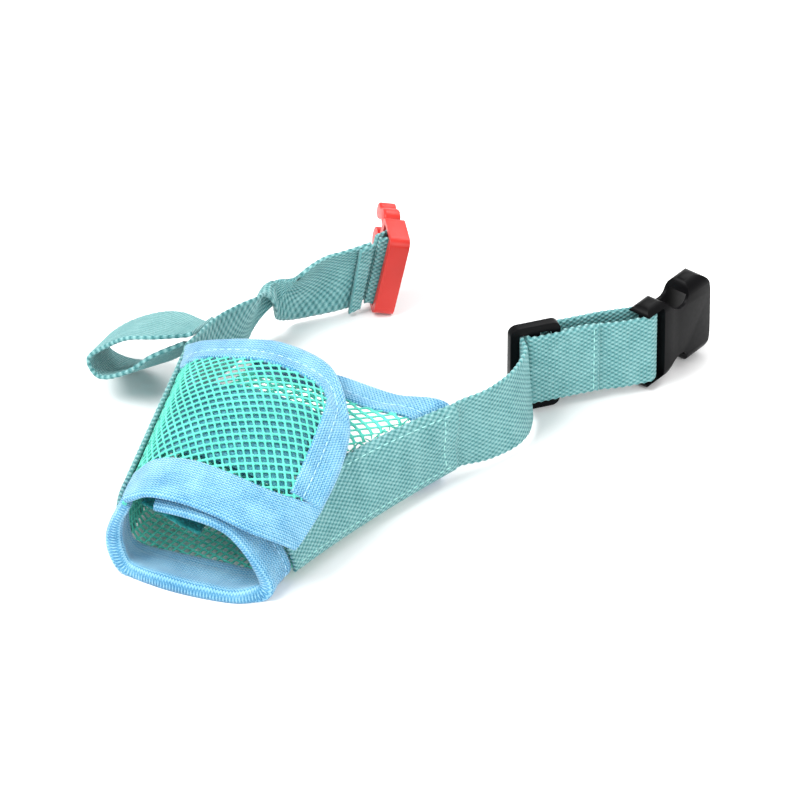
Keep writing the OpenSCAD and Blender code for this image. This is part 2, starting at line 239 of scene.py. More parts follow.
def finish_piece(piece, body, material, slot, *nodes, blend=None):
    piece.data.materials.clear()
    piece.data.materials.append(material)
    if blend:
        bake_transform(piece)
    else:
        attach(piece, body)
    if nodes:
        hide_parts(*nodes)
    print(piece.name, len(piece.data.polygons), "faces")


# %% [markdown]
# ## Finishes
# Each finish is built from node maths. Waves on the UV map, multiplied together,
# make the staggered knuckles of webbing, and a bent wave makes the zigzag of
# knit tape. Soft noise on Object coordinates breaks up every finish, so that no
# area is one flat colour. The class below keeps each finish down to a few lines.

# %% Node helpers
class Nodes:
    def __init__(self, name):
        self.material = bpy.data.materials.new(name)
        self.material.use_nodes = True
        self.tree = self.material.node_tree
        self.shader = self.tree.nodes["Principled BSDF"]

    def add(self, kind, **values):
        node = self.tree.nodes.new(kind)
        for key, value in values.items():
            setattr(node, key, value)
        return node

    def link(self, source, target):
        self.tree.links.new(source, target)

    def math(self, operation, a, b=0.0):
        node = self.add("ShaderNodeMath", operation=operation)
        for socket, value in zip(node.inputs, (a, b)):
            if isinstance(value, (int, float)):
                socket.default_value = value
            else:
                self.link(value, socket)
        return node.outputs[0]

    def uv(self):
        split = self.add("ShaderNodeSeparateXYZ")
        self.link(self.add("ShaderNodeTexCoord").outputs["UV"], split.inputs[0])
        return split.outputs[0], split.outputs[1]

    def wave(self, value, pitch):
        return self.math("COSINE", self.math("MULTIPLY", value, 2 * math.pi / pitch))

    def noise(self, scale, detail):
        node = self.add("ShaderNodeTexNoise")
        node.inputs["Scale"].default_value = scale
        node.inputs["Detail"].default_value = detail
        self.link(self.add("ShaderNodeTexCoord").outputs["Object"], node.inputs["Vector"])
        return node.outputs["Fac"]

    def ramp(self, value, *stops):
        node = self.add("ShaderNodeValToRGB")
        colours = node.color_ramp.elements
        while len(colours) < len(stops):
            colours.new(0.5)
        for element, (place, colour) in zip(colours, stops):
            element.position = place
            element.color = (*colour, 1)
        self.link(value, node.inputs["Fac"])
        return node.outputs["Color"]

    def bump(self, height, distance, strength):
        node = self.add("ShaderNodeBump")
        node.inputs["Distance"].default_value = distance
        node.inputs["Strength"].default_value = strength
        self.link(height, node.inputs["Height"])
        self.link(node.outputs[0], self.shader.inputs["Normal"])

    def cloth(self, colour, roughness, sheen):
        self.link(colour, self.shader.inputs["Base Color"])
        self.shader.inputs["Roughness"].default_value = roughness
        self.shader.inputs["Sheen Weight"].default_value = sheen
        self.shader.inputs["Sheen Roughness"].default_value = 0.4
        self.shader.inputs["Specular IOR Level"].default_value = 0.3


# %% [markdown]
# ## Webbing, tape and net
# Webbing shows small knuckles in staggered rows, tape shows fine bent rows of
# stitches, and a net's thread shows only its fibres. Colour and bump are taken
# from the same pattern. In the webbing and the tape the colour is painted shade
# in the pattern's hollows and painted highlight on its raised parts.

# %% Finishes of the woven and knitted pieces
KNUCKLE = (1.9 * MM, 1.25 * MM)


def webbing_finish(name, light, middle, dark):
    n = Nodes(name)
    u, v = n.uv()
    knuckles = n.math("MULTIPLY", n.wave(u, KNUCKLE[0]), n.wave(v, KNUCKLE[1]))
    fibres = n.noise(3500, 2)
    mottle = n.noise(220, 3)
    height = n.math("ADD", knuckles, n.math("MULTIPLY", fibres, 0.8))
    # The colour follows the knuckles: painted shade in the gaps between them and painted highlight on their
    # tops.
    level = n.math("ADD", n.math("MULTIPLY", knuckles, 0.26), n.math("MULTIPLY", fibres, 0.55))
    level = n.math("ADD", level, n.math("MULTIPLY", mottle, 0.3))
    n.cloth(n.ramp(level, (0.12, dark), (0.38, middle), (0.72, light)), 0.62, 0.2)
    n.bump(height, 0.25 * MM, 0.7)
    return n.material


def tape_finish(name, light, middle, dark):
    n = Nodes(name)
    u, v = n.uv()
    bend = n.math("MULTIPLY", n.math("PINGPONG", u, 0.42 * MM), 1.1)
    rows = n.wave(n.math("ADD", v, bend), 0.8 * MM)
    ribs = n.wave(u, 0.84 * MM)
    pattern = n.math("ADD", n.math("MULTIPLY", rows, 0.6), n.math("MULTIPLY", ribs, 0.1))
    fibres = n.noise(3200, 2)
    patches = n.noise(150, 3)
    # The ramp's light end is a painted highlight and its dark end painted shade of the creases; the stitch
    # rows, ribs and random patches decide where each falls.
    level = n.math("ADD", n.math("MULTIPLY", pattern, 0.34), n.math("MULTIPLY", fibres, 0.55))
    level = n.math("ADD", level, n.math("MULTIPLY", patches, 0.5))
    n.cloth(n.ramp(level, (0.22, dark), (0.45, middle), (0.8, light)), 0.8, 0.35)
    n.bump(n.math("ADD", pattern, fibres), 0.22 * MM, 0.65)
    return n.material


def net_finish(name, light, dark):
    n = Nodes(name)
    fibres = n.noise(2600, 3)
    mottle = n.noise(120, 2)
    level = n.math("ADD", n.math("MULTIPLY", fibres, 0.7), n.math("MULTIPLY", mottle, 0.3))
    n.cloth(n.ramp(level, (0.3, dark), (0.65, light)), 0.55, 0.2)
    n.bump(fibres, 0.12 * MM, 0.5)
    return n.material


# %% [markdown]
# ## Pads and plastic
# A hook-and-loop pad is a dense tangle, which strong fine noise gives. Moulded
# acetal is smooth with a faint grain that spreads its highlights a little.

# %% Finishes of the pads and the mouldings
def patch_finish(name, light, dark, loops=1500):
    n = Nodes(name)
    curls = n.noise(loops, 4)
    patches = n.noise(260, 2)
    level = n.math("ADD", n.math("MULTIPLY", curls, 0.75), n.math("MULTIPLY", patches, 0.25))
    n.cloth(n.ramp(level, (0.42, dark), (0.62, light)), 0.9, 0.3)
    n.bump(curls, 0.5 * MM, 0.9)
    return n.material


def moulded_finish(name, colour, roughness, gloss=0.3):
    n = Nodes(name)
    grain = n.noise(900, 3)
    shade = n.noise(60, 2)
    dim = tuple(c * 0.86 for c in colour)
    n.link(n.ramp(shade, (0.35, dim), (0.7, colour)), n.shader.inputs["Base Color"])
    n.link(n.math("ADD", n.math("MULTIPLY", grain, 0.18), roughness), n.shader.inputs["Roughness"])
    n.bump(grain, 0.02 * MM, 0.35)
    n.shader.inputs["Specular IOR Level"].default_value = gloss
    return n.material


webbing = webbing_finish("webbing", (0.28, 0.53, 0.53), (0.11, 0.31, 0.32), (0.03, 0.16, 0.165))
tape = tape_finish("binding_tape", (0.33, 0.61, 0.76), (0.10, 0.35, 0.57), (0.03, 0.16, 0.33))
net = net_finish("net", (0.13, 0.72, 0.56), (0.05, 0.42, 0.34))
loop_pad = patch_finish("loop_pad", (0.13, 0.52, 0.62), (0.04, 0.27, 0.36))
hook_pad = patch_finish("hook_pad", (0.12, 0.46, 0.55), (0.03, 0.22, 0.3), 2400)
# The rolled strip's pad gets a far darker teal than the other pads: painted shade, because the strip lies in
# shade under the crossbar.
shaded_rolled_pad = patch_finish("shaded_rolled_pad", (0.02, 0.30, 0.29), (0.0, 0.13, 0.13))
thread = net_finish("thread", (0.45, 0.8, 0.75), (0.25, 0.6, 0.58))
red = moulded_finish("red_acetal", (0.58, 0.028, 0.02), 0.26)
black = moulded_finish("black_acetal", (0.003, 0.003, 0.0035), 0.3, 0.07)
print("finishes:", [m.name for m in (webbing, tape, net, loop_pad, shaded_rolled_pad, red, black)])

# %% [markdown]
# ## Net
# The net is knitted with square holes about two millimetres apart. Its threads
# are real here. A lattice of cells is laid over the flat pattern, and in each
# cell a hole with cut corners is opened, so that what is left between holes is
# thread: thick along its middle line and thinner at the edge of a hole. The
# Wireframe modifier could do this too, but it makes threads twice too wide.

# %% Lattice and net helpers
PITCH, STRAND, CORNER_CUT = 2.12 * MM, 0.52 * MM, 0.16
THREAD_HALF, HOLE_HALF = 0.3, 0.17


def lattice(wide, deep, turn):
    """Corner places of square cells over a flat piece, and each cell's four corners."""
    count = int((wide + deep) / PITCH) + 2
    i, j = np.meshgrid(np.arange(-count, count + 1), np.arange(-count, count + 1), indexing="ij")
    c, d = math.cos(math.radians(turn)), math.sin(math.radians(turn))
    corners = np.stack([wide / 2 + (i * c - j * d) * PITCH, deep / 2 + (i * d + j * c) * PITCH], -1)
    m = i.shape[1]
    a = (np.arange(m - 1)[:, None] * m + np.arange(m - 1)[None]).ravel()
    return corners.reshape(-1, 2), np.stack([a, a + m, a + m + 1, a + 1], -1)


def net_panel(name, rows, s0, s1, front, back, turn, inside=None):
    s = np.linspace(s0, s1, 200)
    middle = on_sheet(rows, s, np.full_like(s, 0.5))
    across = np.concatenate([[0], np.cumsum(np.linalg.norm(np.diff(middle, axis=0), axis=-1))])
    deep = float(np.mean(depth(rows, s)))
    corners, cells = lattice(across[-1], deep, turn)
    centre = corners[cells].mean(1)
    cs = np.interp(centre[:, 0], across, s)
    keep = ((centre[:, 0] > 0) & (centre[:, 0] < across[-1]) & (centre[:, 1] > front(cs))
            & (centre[:, 1] < back(cs) * deep))
    if inside is not None:
        keep &= inside(cs, centre[:, 1] / deep)
    cells = cells[keep]
    used, inverse = np.unique(cells, return_inverse=True)
    cells, corners, n = inverse.reshape(-1, 4), corners[used], len(used)
    side = (PITCH - STRAND) / PITCH
    cut = CORNER_CUT * (PITCH - STRAND)
    hole = centre[keep][:, None] + (corners[cells] - centre[keep][:, None]) * side
    ahead = unit(np.roll(hole, -1, 1) - hole)
    ring = np.stack([hole - np.roll(ahead, 1, 1) * cut, hole + ahead * cut], 2).reshape(-1, 8, 2)
    flat = np.concatenate([corners, ring.reshape(-1, 2)])
    ps, pt = np.interp(flat[:, 0], across, s), flat[:, 1] / deep
    base, normal = on_sheet(rows, ps, pt), facing(rows, ps, pt)
    half = np.where(np.arange(len(flat)) < n, THREAD_HALF, HOLE_HALF)[:, None] * MM
    points = np.concatenate([base + normal * half, base - normal * half])
    far, faces = len(flat), []
    edges = {}
    for k, cell in enumerate(cells):
        hole_at = n + k * 8
        for q in range(4):
            a, b = int(cell[q]), int(cell[(q + 1) % 4])
            p0, p1, p2 = hole_at + 2 * q, hole_at + 2 * q + 1, hole_at + (2 * q + 2) % 8
            faces += [[a, b, p2, p1], [a, p1, p0], [b + far, a + far, p1 + far, p2 + far],
                      [a + far, p0 + far, p1 + far], [p1, p2, p2 + far, p1 + far],
                      [p0, p1, p1 + far, p0 + far]]
            edges[(a, b)] = edges.get((a, b), 0) + 1
    faces += [[b, a, a + far, b + far] for a, b in edges if (b, a) not in edges]
    piece = make_object(name, points, faces)
    outward(piece)
    laid = float(np.ptp(flat[:, 1])), len(cells) * PITCH ** 2
    print(name, "cells", len(cells), "width mm", round(across[-1] / MM, 1),
          "depth mm", round(laid[0] / MM, 1))
    return piece, float(np.ptp(flat[:, 0])), laid


# %% [markdown]
# ## The three nets
# One net runs down the left wall, under the chin and up the right wall. The
# tongue carries on from it over the nose, and the flap has its own, cut with a
# round corner. Each runs on a little way under the tape that binds it.

# %% Lay the nets
front_edge = lambda s: np.full_like(s, FRONT_TAPE - 3 * MM)
rear_edge = lambda s: np.full_like(s, 0.9)
chin, chin_wide, chin_deep = net_panel("chin_net_cells", shell, 0, TONGUE + 0.1, front_edge,
                                       rear_edge, -18)
finish_piece(chin, "muzzle", net, "net", "chin_net")
tongue, tongue_wide, tongue_deep = net_panel("tongue_net_cells", shell, TONGUE, SHELL_END, front_edge,
                                             rear_edge, 27)
finish_piece(tongue, "muzzle", net, "net", "tongue_net")


def under_flap_tape(s, t):
    c, r = FLAP_CORNER, (0.85, 0.13)
    corner = ((s - c[0]) / r[0]) ** 2 + ((t - c[1]) / r[1]) ** 2 < 1
    return (s < c[0] + r[0]) & (t < c[1] + r[1]) & ((s < c[0]) | (t < c[1]) | corner)


flap_net, flap_wide, flap_deep = net_panel("flap_net_cells", flap, 0, FLAP_END, front_edge,
                                           lambda s: s * 0 + 1, 27, under_flap_tape)
finish_piece(flap_net, "flap", net, "net", "flap_net")

# %% [markdown]
# ## Folded tape
# Stretch knit tape is folded round each raw edge and sewn down, which leaves a
# fat roll along the fold, a pinched line where the stitches run, and a thin lip
# beyond it. Its section is drawn once as a list of heights and swept along the
# edge, a little fuller here and there as hand-fed tape is.

# %% Folded tape helpers
def tape_section(crease, roll):
    """(place across, half height) from the fold at 0 to the lip at 1."""
    q = np.array([0, .015, .05, .1, .18, .28, .4, .52, .62, .7, .76, .82, .88, .94, .98, 1])
    h = np.array([.0, .45, .82, 1, 1.06, 1.0, .94, .9, .86, .8, .76, .72, .7, .66, .5, .0])
    h = h * (1 - crease[1] * np.exp(-((q - crease[0]) / 0.035) ** 2))
    h[:6] *= roll
    return q, h


def folded_tape(name, fold, lip, normal, half, crease=(0.68, 0.45), roll=1.1, fat=None):
    """fold, lip and normal are points and directions along the edge."""
    run = np.concatenate([[0], np.cumsum(np.linalg.norm(np.diff((fold + lip) / 2, axis=0), axis=-1))])
    n = max(8, int(run[-1] / (0.5 * MM)))
    at = np.linspace(0, run[-1], n)
    fat = np.zeros(n) if fat is None else np.interp(at, run, fat)
    fold, lip, normal = [np.stack([np.interp(at, run, a[:, k]) for k in range(3)], -1)
                         for a in (fold, lip, normal)]
    normal = unit(normal)
    q, h = tape_section(crease, roll)
    ring = np.concatenate([q, q[-2:0:-1]])
    side = np.concatenate([h, -h[-2:0:-1]])
    wide = np.linalg.norm(lip - fold, axis=-1)
    soft = 1 + 0.05 * np.sin(at / (4.3 * MM)) + 0.03 * np.sin(at / (1.7 * MM) + 1)
    points = (fold[:, None] + (lip - fold)[:, None] * ring[None, :, None]
              + normal[:, None] * (side[None, :] * half * soft[:, None]
                                   * (1 + fat[:, None] * np.exp(-(ring[None] / 0.3) ** 2)))[..., None])
    m = len(ring)
    uvs = np.stack(np.broadcast_arrays(at[:, None], ring[None] * wide[:, None]), -1).reshape(-1, 2)
    faces = [list(f) for f in grid_faces(n, m, closed=True)]
    for base, turn in ((0, 1), ((n - 1) * m, -1)):
        for k in range(len(q) - 1):
            a, b = base + k, base + k + 1
            c, d = base + (m - k - 1) % m, base + (m - k) % m
            cap = [a, b, c, d] if k not in (0, len(q) - 2) else ([a, b, c] if k == 0 else [a, b, d])
            faces.append(cap[::turn])
    piece = make_object(name, points.reshape(-1, 3), faces, uvs)
    outward(piece)
    return piece


def edge_of(rows, s, t_fold, t_lip):
    fold, lip = on_sheet(rows, s, t_fold), on_sheet(rows, s, t_lip)
    return fold, lip, facing(rows, s, (t_fold + t_lip) / 2)


# %% [markdown]
# ## Tape on the straight edges
# The nose opening has the fattest roll, from wall to wall under the chin. The
# rear edge and the flap's front edge are flatter.

# %% Bind the rim, the rear and the flap's front
s = np.linspace(0, SHELL_END, 260)
rim = folded_tape("rim_tape_fold", *edge_of(shell, s, s * 0, FRONT_TAPE / depth(shell, s)), 1.25 * MM,
                  crease=(0.78, 0.4), roll=1.1,
                  fat=0.85 * np.clip(np.minimum(s - 0.6, 8.2 - s) / 1.6, 0, 1))
finish_piece(rim, "muzzle", tape, "tape", "rim_tape")
rear = folded_tape("rear_tape_fold", *edge_of(shell, s, s * 0 + 1, 1 - EDGE_TAPE / depth(shell, s)),
                   HALF_TAPE)
finish_piece(rear, "muzzle", tape, "tape", "rear_tape")
s = np.linspace(0, FLAP_END, 160)
bar = folded_tape("crossbar_fold", *edge_of(flap, s, s * 0, FRONT_TAPE / depth(flap, s)), HALF_TAPE,
                  crease=(0.93, 0.2), roll=0.95)
finish_piece(bar, "flap", tape, "tape", "crossbar_tape")

# %% [markdown]
# ## Tape round the flap's corner
# This tape runs up the flap's free side, round its corner and along its back.
# The fold and the lip are two such routes, one inside the other.

# %% Border of the flap
def flap_border(inset, start):
    c = np.array(FLAP_CORNER)
    r = np.array([1.7, 0.22]) - inset
    side = [[c[0] + r[0], start + (c[1] - start) * k / 20] for k in range(20)]
    bend = [[c[0] + r[0] * math.cos(a), c[1] + r[1] * math.sin(a)]
            for a in np.linspace(0, math.pi / 2, 30)]
    back = [[c[0] * (1 - k / 60), c[1] + r[1]] for k in range(1, 61)]
    return np.array(side + bend + back)


start = float((FRONT_TAPE / depth(flap, np.array([float(FLAP_END)])))[0]) - 0.03
outer, inner = flap_border(np.zeros(2), start), flap_border(np.array([1.25, 0.155]), start)
middle = (outer + inner) / 2
border = folded_tape("flap_border_fold", on_sheet(flap, outer[:, 0], outer[:, 1]),
                     on_sheet(flap, inner[:, 0], inner[:, 1]), facing(flap, middle[:, 0], middle[:, 1]),
                     1.15 * MM, crease=(0.66, 0.55), roll=1.15)
finish_piece(border, "flap", tape, "tape", "flap_edge_tape")

# %% [markdown]
# ## The flap's sewn edge
# The flap is sewn to the top of the left wall, and it turns on that seam. A
# narrow strip fills the seam from the wall up to the hinge line. The hinge
# line doesn't move when the flap opens, so the strip simply stays on the wall.

# %% Strip along the hinge
t = np.linspace(0.01, 0.99, 120)
hinge_line = on_sheet(flap, t * 0, t) - np.array([0, 0, 0.45 * MM])
wall_top = on_sheet(shell, t * 0 + 0.22, t)
strip = folded_tape("hinge_strip", hinge_line, wall_top, facing(shell, t * 0 + 0.1, t), 0.5 * MM,
                    crease=(0.6, 0.3))
finish_piece(strip, "muzzle", net, "net")

# %% [markdown]
# ## Webbing
# Nylon webbing is woven in rows of small knuckles, staggered like bricks, and
# its two edges are closed by the weft turning back, which makes them slightly
# beaded. A fine grid carries the knuckles as real relief so that the edges are
# beaded in outline too, and the finish adds the threads.

# %% Weaving helpers
def weave(name, centre, thickness=WEB_T, relief=0.06 * MM, step=0.3 * MM):
    """centre is a grid of points, rows along the webbing and columns across it."""
    def resample(grid, count):
        cuts = np.linalg.norm(np.diff(grid[:, grid.shape[1] // 2], axis=0), axis=-1)
        run = np.concatenate([[0], np.cumsum(cuts)])
        at = np.linspace(0, run[-1], max(4, int(run[-1] / count)))
        flat = grid.reshape(len(grid), -1)
        new = np.stack([np.interp(at, run, flat[:, k]) for k in range(flat.shape[1])], -1)
        return new.reshape(len(at), grid.shape[1], 3), run[-1]
    grid, length = resample(centre, step)
    turned, width = resample(np.swapaxes(grid, 0, 1), step)
    grid = np.swapaxes(turned, 0, 1)
    n, m = grid.shape[:2]
    normal = unit(np.cross(np.gradient(grid, axis=0), np.gradient(grid, axis=1)))
    u = np.linspace(0, length, n)[:, None]
    v = np.linspace(-width / 2, width / 2, m)[None]
    knuckle = np.cos(2 * math.pi * u / KNUCKLE[0]) * np.cos(2 * math.pi * v / KNUCKLE[1])
    edge = np.clip((width / 2 - np.abs(v)) / (0.7 * MM), 0, 1)
    half = thickness / 2 * np.sqrt(1 - (1 - edge) ** 2 * 0.9) + relief * knuckle
    bead = unit(np.gradient(grid, axis=1)) * (np.sign(v) * (1 - edge) * 0.12 * MM
                                              * np.cos(2 * math.pi * u / KNUCKLE[0]))[..., None]
    top = grid + normal * half[..., None] + bead
    bottom = grid - normal * half[..., None] + bead
    points = np.concatenate([top, bottom[:, ::-1]], 1).reshape(-1, 3)
    flat_uv = np.stack(np.broadcast_arrays(u, v), -1)
    uvs = np.concatenate([flat_uv, flat_uv[:, ::-1]], 1).reshape(-1, 2)
    faces = [list(f) for f in grid_faces(n, 2 * m, closed=True)]
    for base, turn in ((0, 1), ((n - 1) * 2 * m, -1)):
        for k in range(m - 1):
            faces.append([base + k, base + k + 1, base + 2 * m - 2 - k, base + 2 * m - 1 - k][::turn])
    piece = make_object(name, points, faces, uvs)
    outward(piece)
    print(name, "length mm", round(length / MM, 1), "width mm", round(width / MM, 1))
    return piece


def between(low_line, high_line):
    """A grid between two routes of the same number of points."""
    s = np.linspace(0, len(low_line) - 1, 40 * (len(low_line) - 1))
    a, b = along(low_line, s), along(high_line, s)
    k = np.linspace(0, 1, 9)[None, :, None]
    return a[:, None] * (1 - k) + b[:, None] * k


# %% [markdown]
# ## Webbing on the walls and the collar loop
# A length of webbing is sewn along each wall, over the tapes. The loop at the
# left rear corner, for a collar, is one length whose two ends are sewn in.

# %% Wall webbing and collar loop
def wall_webbing(name, s0, s1):
    s, t = np.linspace(s0, s1, 24), np.linspace(0.17, 1.005, 60)
    ss, tt = np.meshgrid(s, t)
    lift = OVER_TAPE + WEB_T / 2
    return weave(name, on_sheet(shell, ss, tt) + facing(shell, ss, tt) * lift)


finish_piece(wall_webbing("left_wall_webbing", 0.05, 2.85), "muzzle", webbing, "webbing", "left_webbing")
finish_piece(wall_webbing("right_wall_webbing", 7.15, 9), "muzzle", webbing, "webbing", "right_webbing")

far, near = lines(
    [[-31.6, 84, 19.3], [-39, 86, 19], [-46, 86, 17], [-54, 86, 12], [-59.5, 86, 6],
     [-58.5, 86, 2.5], [-52, 86, 1.2], [-44, 86, 3.5], [-38, 85, 8], [-31.8, 84, 12.6]],
    [[-33.1, 72.6, 22.2], [-39, 68, 23], [-46, 66.5, 22], [-51.5, 66.3, 18.5], [-56.3, 66.3, 14],
     [-56, 66.3, 10.5], [-53, 66.3, 8.5], [-46, 66.5, 12], [-40, 68, 17.2], [-33.2, 72.6, 20]])
sewn_far, sewn_near = lines([[-29.9, 84.6, 20.7]], [[-31.3, 73.6, 22.7]])
far, near = np.vstack([sewn_far, far]), np.vstack([sewn_near, near])
finish_piece(weave("collar_loop_webbing", between(far, near)), "muzzle", webbing, "webbing",
             "collar_loop")

# %% [markdown]
# ## The left strap
# This strap turns over halfway along, so its far face comes to the front. It
# is one piece from the side wall nearly to the plug, fixed where it lies and
# following no body. The turn round the plug's bar is a piece of its own. It
# starts 0.6 mm past this strap's end, a gap that real webbing doesn't have.

# %% Left strap
LEFT_BEND = ((-0.0306, 0.081, 0.011), (-0.0292, 0.0875, 0.011))
ss, tt = np.meshgrid(np.linspace(-0.17, 10.7, 426), np.linspace(0, 1, 15), indexing="ij")
left_strap = weave("left_strap_webbing", on_sheet(left, ss, tt))
finish_piece(left_strap, None, webbing, "webbing", "left_strap_root", "left_neck_strap",
             blend=("muzzle", "left_strap", *LEFT_BEND))

# %% [markdown]
# ## Webbing round the bars
# At each end the webbing turns round a bar and comes back on itself. The turn
# is drawn as a path seen from above and swept up by the webbing's width, in
# the same leaning place as the CAD solid it stands for.

# %% Helpers for a turn of webbing
# The bar's radius, the play round it and half the webbing's thickness, in mm.
TURN_R = 1.5 + 0.46 + 0.6


def turn_about(axis, degrees):
    return Matrix.Rotation(math.radians(degrees), 4, axis)


PLUG = (Matrix.Translation((-2.2114 * MM, 134.2636 * MM, 11.8893 * MM)) @ turn_about("Z", 120)
        @ turn_about("X", 102))
# The run behind the slider: its direction, its length in mm to the socket's bar, its start.
RUN_ANGLE, RUN_LENGTH, RUN_AT = 40.8, 29.6, (48.3 * MM, 105.3 * MM)


def run_place(z):
    return Matrix.Translation((*RUN_AT, z)) @ turn_about("Z", RUN_ANGLE)


def swept(place, path):
    """A grid of points: the path in millimetres, carried across by the webbing's width."""
    route = along(np.array([[x, y, 0] for x, y in path], float) * MM,
                  np.linspace(0, len(path) - 1, 24 * (len(path) - 1)))
    heights = np.linspace(-WEB / 2, WEB / 2, 9)
    return np.array([[tuple(place @ Vector((p[0], p[1], h))) for h in heights] for p in route])


def turn_points(angles, centre=0.0):
    return [(centre + TURN_R * math.cos(math.radians(a)), TURN_R * math.sin(math.radians(a)))
            for a in angles]


def bar_path(back, near, far):
    return ([(-back, far), (-back * 0.45, (far + TURN_R) / 2 * 0.96)] + turn_points(range(100, -101, -20))
            + [(-back * 0.45, (near - TURN_R) / 2 * 0.96), (-back, near)])


# %% [markdown]
# ## The plug's turn and tail
# The left strap goes round the plug's bar and its end is sewn back down. The
# turn leans with the plug as it lies at rest, and it stays with the strap.

# %% Turn and tail at the plug
plug_turn = weave("plug_turn_fold", swept(PLUG @ turn_about("Y", -68) @ turn_about("X", 90),
                                         bar_path(5.4, -0.68, 0.68)))
finish_piece(plug_turn, "left_strap", webbing, "webbing", "plug_turn_webbing")
tail_low, tail_top = lines([[-6.6, 128.3, 2.2], [-9.6, 125.4, 1]],
                           [[-3.2, 130.4, 21.4], [-6.6, 126.2, 21]])
k = np.linspace(0.3, 1, 30)[:, None, None]
c = np.linspace(0, 1, 9)[None, :, None]
low_edge, top_edge = [row[0] * (1 - k) + row[1] * k for row in (tail_low, tail_top)]
finish_piece(weave("plug_tail_webbing", low_edge * (1 - c) + top_edge * c), "left_strap",
             webbing, "webbing", "plug_tail")

# %% [markdown]
# ## Right strap and adjuster
# The right strap comes off the side wall at a stitched seam and goes through
# the slider. The length beyond the slider goes round the buckle's bar and back,
# and on the real strap it slides; here it and the right strap are fixed where
# they lie, following no body. The strap's first points lie under the wall
# webbing, which hides the seam, but the two pieces cross there, which real
# cloth doesn't.

# %% Right strap, the slider's webbing and the buckle's loop
RIGHT_BEND = ((0.044, 0.076, 0.012), (0.049, 0.100, 0.012))
right_low, right_top = lines(
    [[40.6, 69.4, 2.2], [41.6, 71.9, 2.2], [46.8, 77, 2], [51, 84, 2], [52.2, 90, 2], [51.4, 95, 2],
     [50.2, 98.2, 2.3], [47.7, 100.9, 2.6], [45.9, 102.9, 2.7]],
    [[40.6, 69.4, 22.2], [41.6, 71.9, 22.2], [45.8, 78.5, 22], [48.4, 86, 22], [49.1, 91.5, 22],
     [49, 96, 22.2], [48.4, 98.8, 22.4], [46.8, 101.2, 22.6], [45.6, 103.1, 22.7]])
finish_piece(weave("right_neck_webbing", between(right_low, right_top)), None, webbing, "webbing",
             "right_neck_strap",
             blend=("right_strap", "adjuster", *RIGHT_BEND))
slider_route = [(16.5, -2.1), (11, -2.1), (5.5, -2.1), (1.4, -2.1), (-1.2, -1.95),
                (-2.1, -0.9), (-2.1, 0.9), (-1, 2), (1, 2.1), (2.1, 1.2)]
finish_piece(weave("slider_fold", swept(run_place(12.7 * MM), slider_route)), "adjuster", webbing, "webbing",
             "slider_tail")
loop = ([(4.2, -0.75), (9, -0.75), (14, -0.8), (18.5, -1.7), (23, -2.4)]
        + turn_points(range(-100, 101, 20), RUN_LENGTH)
        + [(24, 3.1), (18, 3.6), (8, 3.6), (-2.5, 3.6)])
start = tuple(run_place(12.3 * MM) @ Vector((4 * MM, 0, 0)))
end = tuple(run_place(12.3 * MM) @ Vector((27 * MM, 0, 0)))
finish_piece(weave("buckle_loop_webbing", swept(run_place(12.3 * MM), loop)), None, webbing, "webbing",
             "socket_turn_webbing", blend=("adjuster", "right_strap", start, end))

# %% [markdown]
# ## Hook-and-loop pads
# A loop pad is a field of tiny tangled loops and a hook pad a field of stiff
# hooks. Each pad is a soft-edged slab whose face is broken up by small bumps,
# and the finish adds the tangle. The strip inside the nose opening is the same
# kind of slab, laid flat.

# %% Pads under the flap and the rolled strip
def pad(name, rows, s0, s1, t0, t1, low_h, high_h, fuzz, columns=150, deep=80):
    ss, tt = np.meshgrid(np.linspace(s0, s1, columns), np.linspace(t0, t1, deep), indexing="ij")
    base, normal = on_sheet(rows, ss, tt), facing(rows, ss, tt)
    rng = np.random.default_rng(len(name))
    edge = np.minimum(np.minimum(ss - s0, s1 - ss) / (s1 - s0),
                      np.minimum(tt - t0, t1 - tt) / (t1 - t0))
    soft = np.sqrt(np.clip(edge / 0.02, 0, 1))[..., None]
    rough = rng.uniform(-fuzz, fuzz, ss.shape)[..., None]
    middle = (low_h + high_h) / 2
    top = base + normal * (middle + (high_h - middle) * (0.25 + 0.75 * soft) + rough * soft)
    bottom = base + normal * (middle + (low_h - middle) * (0.25 + 0.75 * soft))
    points = np.concatenate([top, bottom[:, ::-1]], 1).reshape(-1, 3)
    uv = np.stack([ss * 9 * MM, tt * 60 * MM], -1)
    uvs = np.concatenate([uv, uv[:, ::-1]], 1).reshape(-1, 2)
    n, m = ss.shape
    faces = [list(f) for f in grid_faces(n, 2 * m, closed=True)]
    for first, way in ((0, 1), ((n - 1) * 2 * m, -1)):
        for k in range(m - 1):
            faces.append([first + k, first + k + 1, first + 2 * m - 2 - k, first + 2 * m - 1 - k][::way])
    piece = make_object(name, points, faces, uvs)
    outward(piece)
    return piece


finish_piece(pad("loop_pad_field", shell, 9.7, 11.9, 0.25, 0.7, 0.7 * MM, 1.3 * MM, 0.12 * MM),
             "muzzle", loop_pad, "patch", "loop_patch")
finish_piece(pad("hook_pad_field", flap, 0.5, 4.7, 0.24, 0.66, 0.6 * MM, 1.3 * MM, 0.1 * MM),
             "flap", hook_pad, "hook", "hook_patch")
curl_low, curl_top = lines(
    [[-17.6, 7, 18.6], [-12.5, 7, 16.8], [-7, 7, 14.4], [-2, 7, 13]],
    [[-19, 24, 20], [-13.5, 24, 18.4], [-7.5, 24, 16.4], [-2, 24, 15]])
curl_rows = [curl_low, (curl_low + curl_top) / 2, curl_top]
finish_piece(pad("rolled_strip_field", curl_rows, 0, 3, 0, 1, -0.6 * MM, 0.6 * MM, 0.16 * MM, 90, 90),
             "muzzle", shaded_rolled_pad, "curl", "curl_strip")

# %% [markdown]
# ## Moulded parts
# The buckle halves and the slider are acetal mouldings with small radii on
# every edge. Each CAD solid already has the right shape, so a copy is merged,
# its flat facets joined, and its edges rounded by a bevel.

